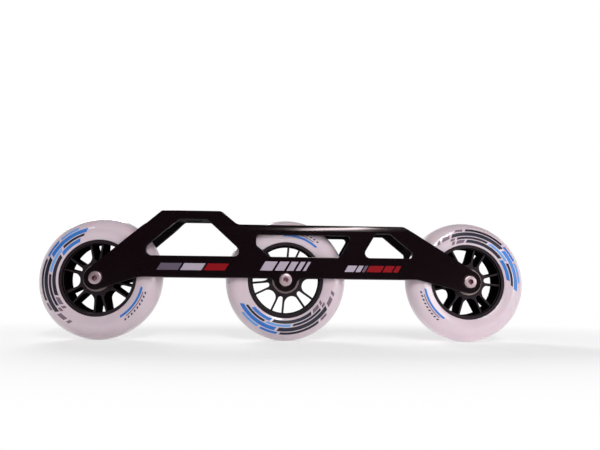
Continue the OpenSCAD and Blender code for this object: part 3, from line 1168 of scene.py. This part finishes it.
@dataclass
class Studio:
    """Camera, floor, lamps and surround of the picture."""

    camera_place: tuple[float, float, float] = (-5.298 * MM, -409.467 * MM, 45.398 * MM)
    camera_yaw: float = 0.0418
    camera_pitch: float = 0.1253
    camera_roll: float = 0.0107
    focal_px: float = 482.09
    picture_px: float = 600.0
    sensor: float = 36.0
    near_clip: float = 10 * MM
    floor_size: float = 1.6
    floor_colour: Colour = (0.92, 0.92, 0.92, 1.0)
    floor_lift: float = 0.55
    shadow_shape: tuple[float, float, float] = (0.4, 1.0, 1.0)
    shadow_fade: tuple[float, float] = (0.09, 0.24)
    bounce_place: tuple[float, float, float] = (0.19, -0.1, 0.0)
    bounce_fade: tuple[float, float] = (0.05, 0.25)
    bounce: float = 0.45
    ambient: float = 0.2
    room_shade: float = 0.04
    backdrop_turn: tuple[float, float] = (-0.2, 0.3)
    backdrop_top: tuple[float, float] = (0.35, 0.7)
    lamps: tuple[Softbox, ...] = (
        # Panels that the rounded shoulder of the deck mirrors
        Softbox((0.09, -1.05, 0.55), (0.09, 0.0, 0.05), 0.06, 0.5, 1.35),
        Softbox((0.16, -1.05, 0.79), (0.16, 0.0, 0.05), 0.08, 0.5, 2.56),
        Softbox((0.24, -1.05, 0.93), (0.24, 0.0, 0.05), 0.08, 0.5, 2.4),
        Softbox((0.32, -1.05, 1.214), (0.32, 0.0, 0.05), 0.08, 0.55, 2.8),
        Softbox((0.19, -1.05, 0.47), (0.19, 0.0, 0.05), 0.18, 0.25, 0.42),
        # Low at the toe, high at the heel and from behind
        Softbox((0.85, -0.7, 0.16), (0.12, 0.0, 0.04), 0.6, 0.3, 2.6),
        Softbox((-0.9, -1.1, 0.9), (0.0, 0.0, 0.05), 0.3, 0.3, 1.5),
        Softbox((-0.7, 1.1, 1.0), (0.0, 0.0, 0.05), 0.8, 0.8, 16.0),
    )

    def camera(self) -> None:
        """Set the camera where the photograph was taken from."""
        bpy.ops.object.camera_add(location=self.camera_place)
        camera = bpy.context.active_object
        turn = (
            Matrix.Rotation(-self.camera_yaw, 3, "Z")
            @ Matrix.Rotation(QUARTER_TURN + self.camera_pitch, 3, "X")
            @ Matrix.Rotation(self.camera_roll, 3, "Z")
        )
        camera.rotation_euler = turn.to_euler()
        camera.data.sensor_width = self.sensor
        camera.data.lens = self.focal_px / self.picture_px * self.sensor
        camera.data.clip_start = self.near_clip
        bpy.context.scene.camera = camera

    def light(self) -> None:
        """Set up the lamps."""
        for lamp in self.lamps:
            bpy.ops.object.light_add(type="AREA", location=lamp.place)
            light = bpy.context.active_object
            ray = Vector(lamp.aim) - Vector(lamp.place)
            light.rotation_euler = ray.to_track_quat("-Z", "Y").to_euler()
            light.data.shape = "RECTANGLE"
            light.data.size = lamp.width
            light.data.size_y = lamp.height
            light.data.energy = lamp.power

    def _seen(self, tree: Tree) -> tuple[Socket, Socket]:
        """Mask of the rays that show the background, and of the camera's alone.

        Args:
            tree: Node tree that takes the nodes.

        Returns:
            The mask of camera, glossy and transmission rays, and the mask of camera rays.
        """
        path = put(tree, "ShaderNodeLightPath").outputs
        mirrored = calculate(tree, "MAXIMUM", path["Is Glossy Ray"], path["Is Transmission Ray"])
        return calculate(tree, "MAXIMUM", path["Is Camera Ray"], mirrored), path["Is Camera Ray"]

    def _ramp(
        self,
        tree: Tree,
        value: Socket,
        start_end: tuple[float, float],
        low_high: tuple[float, float],
        ease: str = "LINEAR",
    ) -> Socket:
        """Add a Map Range node.

        Args:
            tree: Node tree that takes the node.
            value: What is mapped.
            start_end: Where the ramp starts and ends.
            low_high: What it gives there.
            ease: Blender's name of its course.

        Returns:
            The socket with the result.
        """
        inputs = {"Value": value, "From Min": start_end[0], "From Max": start_end[1],
                  "To Min": low_high[0], "To Max": low_high[1]}
        return put(tree, "ShaderNodeMapRange", inputs, interpolation_type=ease).outputs["Result"]

    def _paper(self) -> bpy.types.Material:
        """Pale paper, lifted to white away from the object where it is seen, and bright at the toe.

        Returns:
            The material of the floor.
        """
        paper = bpy.data.materials.new("studio_paper")
        paper.use_nodes = True
        tree = paper.node_tree
        tree.nodes.clear()
        matt = put(tree, "ShaderNodeBsdfDiffuse", {"Color": self.floor_colour})
        glow = put(tree, "ShaderNodeEmission", {"Strength": 1.0})
        place = put(tree, "ShaderNodeTexCoord").outputs["Object"]
        shape = put(tree, "ShaderNodeVectorMath", {0: place, 1: self.shadow_shape}, operation="MULTIPLY")
        reach = put(tree, "ShaderNodeVectorMath", {0: shape.outputs[0]}, operation="LENGTH")
        fade = self._ramp(tree, reach.outputs["Value"], self.shadow_fade, (self.floor_lift, 1.0),
                          "SMOOTHSTEP")
        lifted = put(tree, "ShaderNodeMixShader", {0: fade, 1: matt.outputs[0], 2: glow.outputs[0]})
        seen, _ = self._seen(tree)
        away = put(tree, "ShaderNodeVectorMath", {0: place, 1: self.bounce_place}, operation="DISTANCE")
        patch = self._ramp(tree, away.outputs["Value"], self.bounce_fade, (self.bounce, 0.0),
                           "SMOOTHSTEP")
        panel = put(tree, "ShaderNodeEmission", {"Strength": patch})
        bright = put(tree, "ShaderNodeAddShader", {0: matt.outputs[0], 1: panel.outputs[0]})
        whole = put(tree, "ShaderNodeMixShader", {0: seen, 1: bright.outputs[0], 2: lifted.outputs[0]})
        put(tree, "ShaderNodeOutputMaterial", {"Surface": whole.outputs[0]})
        return paper

    def floor(self) -> None:
        """Lay a pale floor that keeps the object's shadow and throws soft light up at the front wheel."""
        bpy.ops.mesh.primitive_plane_add(size=self.floor_size, location=(0, 0, 0))
        floor = named(bpy.context.active_object, "studio_floor")
        floor.data.materials.append(self._paper())

    def surround(self) -> None:
        """Make a white backdrop, with a dim ceiling and front in reflections, and a soft fill."""
        world = bpy.data.worlds.new("studio_surround")
        world.use_nodes = True
        tree = world.node_tree
        tree.nodes.clear()
        seen, camera = self._seen(tree)
        direction = put(tree, "ShaderNodeTexCoord").outputs["Generated"]
        parts = put(tree, "ShaderNodeSeparateXYZ", {"Vector": direction}).outputs
        behind = self._ramp(tree, parts["Y"], self.backdrop_turn, (self.room_shade, 1.0))
        low = self._ramp(tree, parts["Z"], self.backdrop_top, (1.0, self.room_shade))
        backdrop = calculate(tree, "MINIMUM", behind, low)
        bright = calculate(tree, "MAXIMUM", backdrop, camera)
        shown = put(tree, "ShaderNodeBackground", {"Color": WHITE, "Strength": bright})
        fill = put(tree, "ShaderNodeBackground", {"Color": WHITE, "Strength": self.ambient})
        mix = put(tree, "ShaderNodeMixShader", {0: seen, 1: fill.outputs[0], 2: shown.outputs[0]})
        put(tree, "ShaderNodeOutputWorld", {"Surface": mix.outputs[0]})
        bpy.context.scene.world = world

    def build(self) -> None:
        """Set up the whole studio."""
        self.camera()
        self.floor()
        self.light()
        self.surround()
        bpy.context.scene.view_settings.view_transform = "Standard"


def main() -> None:
    """Build the dressed skate frame and its studio."""
    logging.basicConfig(level=logging.INFO, format="%(name)s: %(message)s")
    bpy.ops.object.select_all(action="SELECT")
    bpy.ops.object.delete()
    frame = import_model()
    nodes = frame["nodes"]
    axles = {}
    for station in Station:
        low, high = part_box(f"{station.value}_tyre")
        axles[station] = (low + high) / 2
    Studio().build()
    channel = Channel()
    channel.build(nodes)
    channel.ride()
    Wheel().build(nodes, axles)
    AxleBolt().build(axles)
    Bearings().build(nodes)


if __name__ == "__main__":
    main()
